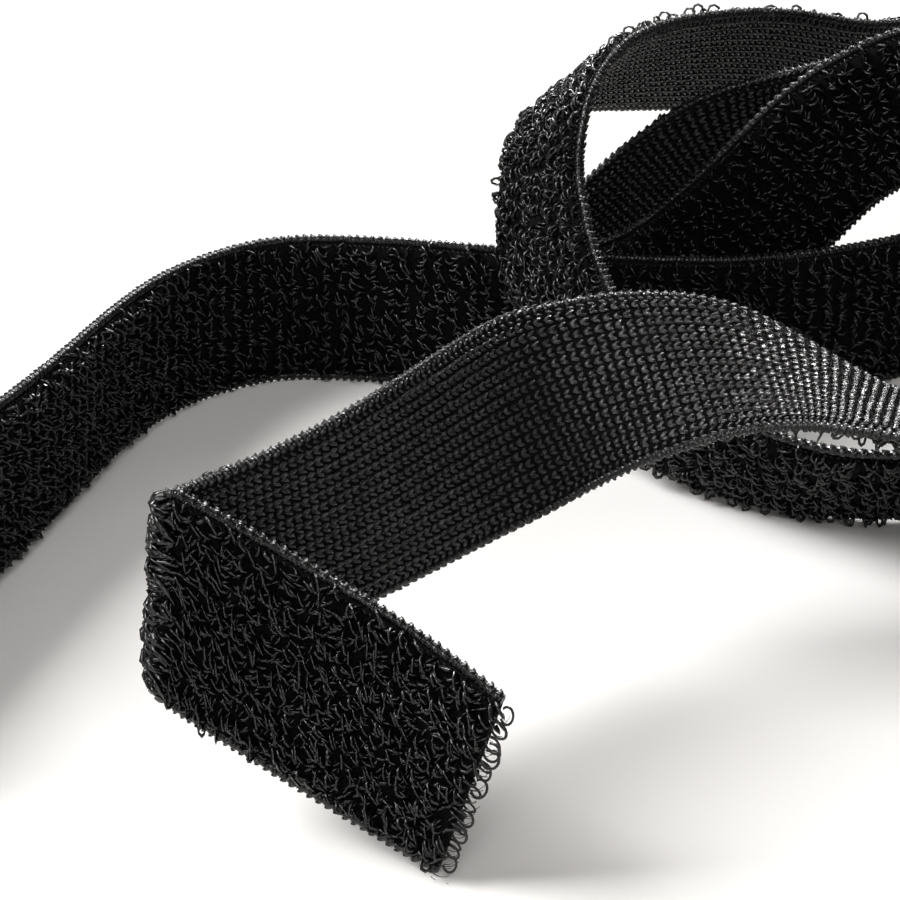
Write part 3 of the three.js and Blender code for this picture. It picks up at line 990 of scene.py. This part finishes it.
@dataclass
class Selvedge:
    """One selvedge: a round cord, wound into beads at the edge and bound by stitches on both faces."""

    name: str
    side: int
    cord_radius: float = 0.42 * MM
    cord_sides: int = 8
    bead_pitch: float = 0.95 * MM
    bead_place: float = 9.42 * MM
    bead_size: Triple = mm(1.06, 1.0, 1.1)
    bead_sides: int = 7
    bead_rings: int = 4
    wraps_per_bead: int = 2
    wrap_radius: float = 0.46 * MM
    wrap_filament: float = 0.11 * MM
    wrap_sides: int = 3
    wrap_points: int = 7
    wrap_sweep: float = math.radians(230)
    wrap_lean: float = math.radians(16)
    jitter: float = 0.03 * MM
    slack: float = math.radians(4)
    size_slack: float = 0.06

    def column(self, rows: Sizes, place: float, height: float, turn: Vector) -> Sizes:
        """Sizes that every column of the selvedge has.

        Args:
            rows: its rows.
            place: how far it is from the tape's middle.
            height: its height over the middle of the web.
            turn: how each of its copies is turned.

        Returns:
            The tree's named sizes.
        """
        least, most = even(1 - self.size_slack), even(1 + self.size_slack)
        return {
            **rows, "Columns": 1, "Width": 0.0, "Middle": self.side * place, "Height": height,
            **chance(even(self.jitter), turn, even(self.slack), least, most),
        }

    def wraps(self, rows: Sizes) -> Sizes:
        """Sizes of the threads wound round the edge."""
        round_the_edge = Vector((0, 0, -self.side * QUARTER_TURN + self.wrap_lean))
        return {
            **self.column(rows, SELVEDGE_PLACE, 0.0, round_the_edge), "Filament": self.wrap_filament,
            "Filament sides": self.wrap_sides, "Curl radius": self.wrap_radius, "Foot": 0.0,
            "Arc start": -self.wrap_sweep / 2, "Arc sweep": self.wrap_sweep, "Arc points": self.wrap_points,
        }

    def build(self, shop: Workshop, stretch: Stretch) -> None:
        """Makes the selvedge of one stretch."""
        start, end = shop.route.span[stretch]
        cord = {
            **shop.strip(stretch), "Middle": self.side * SELVEDGE_PLACE,
            "Radius": self.cord_radius, "Sides": self.cord_sides,
        }
        nodes = shop.nodes(stretch, f"selvedge_{self.name}")
        shop.make(f"{self.name}_cord", stretch, "cord", cord, "selvedge", nodes)
        bead_rows = shop.rows(start, end, self.bead_pitch)
        beads = {
            **self.column(bead_rows, self.bead_place, 0.0, Vector()), "Bead size": Vector(self.bead_size),
            "Bead sides": self.bead_sides, "Bead rings": self.bead_rings,
        }
        shop.make(f"{self.name}_beads", stretch, "beads", beads, "selvedge")
        wrap_rows = shop.rows(start, end, (end - start) / (self.wraps_per_bead * bead_rows["Rows"]))
        shop.make(f"{self.name}_wraps", stretch, "curls", self.wraps(wrap_rows), "selvedge")
        for binding in BINDINGS:
            rows = shop.rows(start, end, binding.pitch)
            roll = Vector((0, self.side * binding.roll, 0))
            stitches = {
                **self.column(rows, binding.place, binding.height, roll), "Leg size": Vector(binding.leg),
                "Leg spread": binding.spread, "Leg lean": binding.lean, "Leg tip": 0.0,
            }
            shop.make(f"{self.name}_{binding.name}", stretch, "stitches", stitches, "selvedge")


@dataclass
class CutEnd:
    """The loose loops and fibres that stand out of a cut end."""

    name: str
    stretch: Stretch
    way_out: int
    loop_columns: int = 16
    loop_width: float = 16 * MM
    loop_reach: float = 0.2 * MM
    loop_points: int = 14
    loop_filament: float = 0.13 * MM
    loop_sizes: tuple[float, float] = (0.9, 1.25)
    fibre_columns: int = 40
    fibre_width: float = TAPE_WIDTH - 2 * SELVEDGE_DIAMETER
    fibre_radius: float = 1.6 * MM
    fibre_sweep: float = math.radians(65)
    fibre: float = 0.04 * MM
    fibre_sizes: tuple[float, float] = (0.5, 1.2)
    height: float = 0.2 * MM
    jitter: Triple = mm(0.3, 0.2, 0.5)
    slack: Triple = degrees(14, 30, 16)

    def column(self, start: float, columns: int, width: float, sizes: tuple[float, float]) -> Sizes:
        """Sizes of one row of curls across the end.

        Args:
            start: its distance along the route.
            columns: how many curls it has.
            width: how far apart the outer two are.
            sizes: their least and most size, beside that of the shape.

        Returns:
            The tree's named sizes.
        """
        face_on = Vector((-self.way_out * QUARTER_TURN, QUARTER_TURN, 0))
        return {
            "Start": start, "Length": 0.0, "Rows": 1, "Columns": columns, "Width": width,
            "Middle": 0.0, "Height": self.height,
            **chance(Vector(self.jitter), face_on, Vector(self.slack), *(even(size) for size in sizes)),
        }

    def build(self, shop: Workshop, pile: LoopPile) -> None:
        """Makes the loops of the end, which come from the pile, and its fibres."""
        span = shop.route.span[self.stretch]
        end = span[1] if self.way_out > 0 else span[0]
        reach = end + self.way_out * self.loop_reach
        loops = {
            **pile.curl(), **self.column(reach, self.loop_columns, self.loop_width, self.loop_sizes),
            "Arc points": self.loop_points, "Filament": self.loop_filament,
        }
        fibres = {
            **self.column(end, self.fibre_columns, self.fibre_width, self.fibre_sizes),
            "Filament": self.fibre, "Filament sides": pile.filament_sides, "Curl radius": self.fibre_radius,
            "Arc start": 0.0, "Arc sweep": self.fibre_sweep, "Arc points": pile.arc_points, "Foot": 0.0,
        }
        shop.make(f"{self.name}_loops", self.stretch, "curls", loops, "pile")
        shop.make(f"{self.name}_fibres", self.stretch, "curls", fibres, "pile")


@dataclass(frozen=True)
class Lamp:
    """A square lamp that shines at the middle of the tape.

    Attributes:
        name: what it is.
        azimuth: its way as a compass has it, with north behind the tape and east on the right.
        elevation: its angle over the floor.
        size: length of its sides.
        power: its power in watts.
        glints_only: whether it is seen in glossy surfaces alone, as a bright card behind the scene would be.
        reach: how far off it stands.
    """

    name: str
    azimuth: float
    elevation: float
    size: float
    power: float
    glints_only: bool = False
    reach: float = 1.3

    def place(self) -> Vector:
        """Where it stands."""
        level = math.cos(self.elevation)
        way = (level * math.sin(self.azimuth), level * math.cos(self.azimuth), math.sin(self.elevation))
        return Vector(way) * self.reach


# A window on the left lights everything, a fill lifts the floor in front, and a card makes the yarns glint
LAMPS = (
    Lamp("window", *degrees(272, 42), 0.7, 26.5),
    Lamp("fill", *degrees(180, 38), 0.7, 7.5),
    Lamp("card", *degrees(12, 40), 0.45, 30.0, glints_only=True),
)


@dataclass
class Studio:
    """The pale floor, the soft lights and the camera of the photograph."""

    floor_size: float = 8.0
    floor_colour: str = "#f4f2f0"
    floor_roughness: float = 0.9
    sky_colour: str = "#fff6ee"
    sky_strength: float = 0.12
    camera_height: float = 128 * MM
    camera_back: float = 260 * MM
    camera_pitch: float = math.radians(25)
    camera_lens: float = 100.0
    camera_sensor: float = 36.0
    camera_clip: float = 10 * MM

    def floor(self) -> None:
        """Makes the floor, large enough for every view."""
        half = self.floor_size / 2
        corners = [(-half, -half, 0), (half, -half, 0), (half, half, 0), (-half, half, 0)]
        mesh = bpy.data.meshes.new("floor")
        mesh.from_pydata(corners, [], [(0, 1, 2, 3)])
        floor = in_scene("floor", mesh)
        material = bpy.data.materials.new("matt_paper")
        material.use_nodes = True
        shader = material.node_tree.nodes["Principled BSDF"]
        shader.inputs["Base Color"].default_value = linear(self.floor_colour)
        shader.inputs["Roughness"].default_value = self.floor_roughness
        mesh.materials.append(material)

    def lights(self) -> None:
        """Makes the pale sky and the soft lamps."""
        world = bpy.data.worlds.new("pale_sky")
        world.use_nodes = True
        sky = world.node_tree.nodes["Background"]
        sky.inputs["Color"].default_value = linear(self.sky_colour)
        sky.inputs["Strength"].default_value = self.sky_strength
        bpy.context.scene.world = world
        for lamp in LAMPS:
            light = bpy.data.lights.new(lamp.name, "AREA")
            light.size = lamp.size
            light.energy = lamp.power
            holder = in_scene(lamp.name, light)
            holder.visible_diffuse = not lamp.glints_only
            holder.location = lamp.place()
            holder.rotation_euler = (-lamp.place()).to_track_quat("-Z", "Y").to_euler()

    def camera(self) -> None:
        """Makes the camera at the photograph's place and angle."""
        data = bpy.data.cameras.new("photo_camera")
        data.lens = self.camera_lens
        data.sensor_width = self.camera_sensor
        data.clip_start = self.camera_clip
        camera = in_scene("photo_camera", data)
        camera.location = Vector((0, -self.camera_back, self.camera_height)) - Vector(ROUTE_ORIGIN)
        camera.rotation_euler = (QUARTER_TURN - self.camera_pitch, 0, 0)
        bpy.context.scene.camera = camera

    def build(self) -> None:
        """Makes the whole studio."""
        self.floor()
        self.lights()
        self.camera()
        bpy.context.scene.view_settings.view_transform = "Standard"


def main() -> None:
    """Builds the studio and every piece of the tape."""
    logging.basicConfig(level=logging.INFO, format="%(message)s")
    Studio().build()
    shop = Workshop(TapeRoute(STATIONS, CREASE, FOLDED_END))
    pile = LoopPile()
    for stretch in Stretch:
        GroundWeave().build(shop, stretch)
        pile.build(shop, stretch)
        ChainWales().build(shop, stretch)
        for name, side in (("lower", -1), ("upper", 1)):
            Selvedge(name, side).build(shop, stretch)
    for end in (CutEnd("tail_end", Stretch.LONG, -1), CutEnd("cut_end", Stretch.FLAP, 1)):
        end.build(shop, pile)
    carried = {Stretch.LONG: (Stretch.LONG, Stretch.FOLD), Stretch.FLAP: (Stretch.FLAP,)}
    for stretch, others in carried.items():
        start, end = shop.route.span[stretch]


if __name__ == "__main__":
    main()
